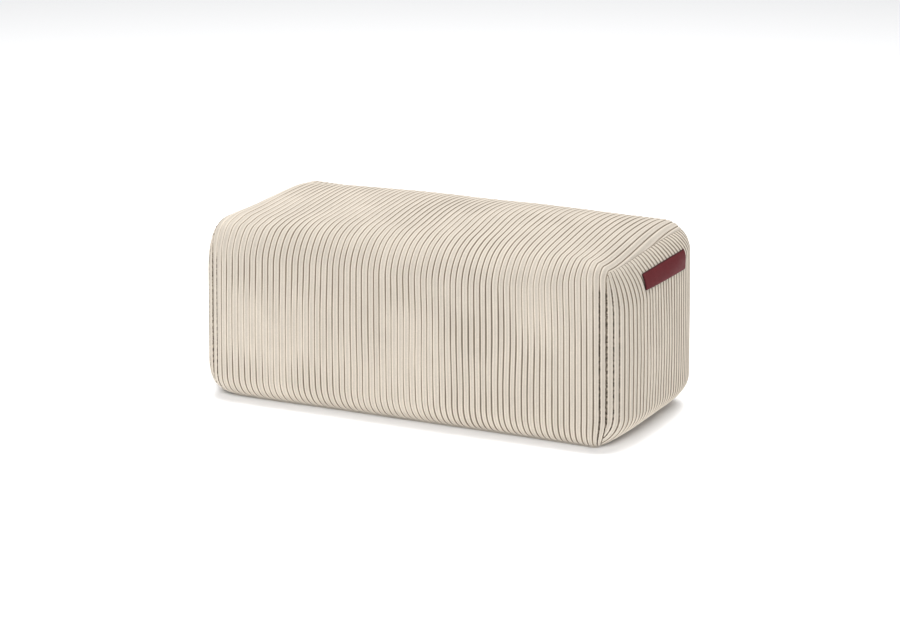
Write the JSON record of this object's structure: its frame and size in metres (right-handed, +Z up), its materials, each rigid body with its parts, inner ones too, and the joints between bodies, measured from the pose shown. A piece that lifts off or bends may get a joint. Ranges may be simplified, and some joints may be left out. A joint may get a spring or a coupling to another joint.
{
  "type": "bean bag footstool",
  "caption": "Soft block-shaped footstool in cream wide-wale corduroy over a bead filling, with crowned top, full ends, plain base cloth and a bare burgundy leather label.",
  "frame": {"origin": "centre of the flat underside, on the floor", "axes": "+X along the length towards the end with the label, +Y from the front to the back, +Z up"},
  "size_m": [0.7052, 0.3238, 0.3024],
  "materials": {
    "corduroy": "cream wide-wale cotton corduroy, wales about 10 mm apart, matte with a soft pile sheen",
    "base_cloth": "plain tightly woven cream base cloth, matte",
    "leather": "burgundy leather, satin, fine grain, bare face with darker cut edges"
  },
  "bodies": {
    "root": {"filled_body": "corduroy", "end_panel_right": "corduroy", "end_panel_left": "corduroy", "base_panel": "base_cloth", "label": "leather"}
  },
  "joints": []
}
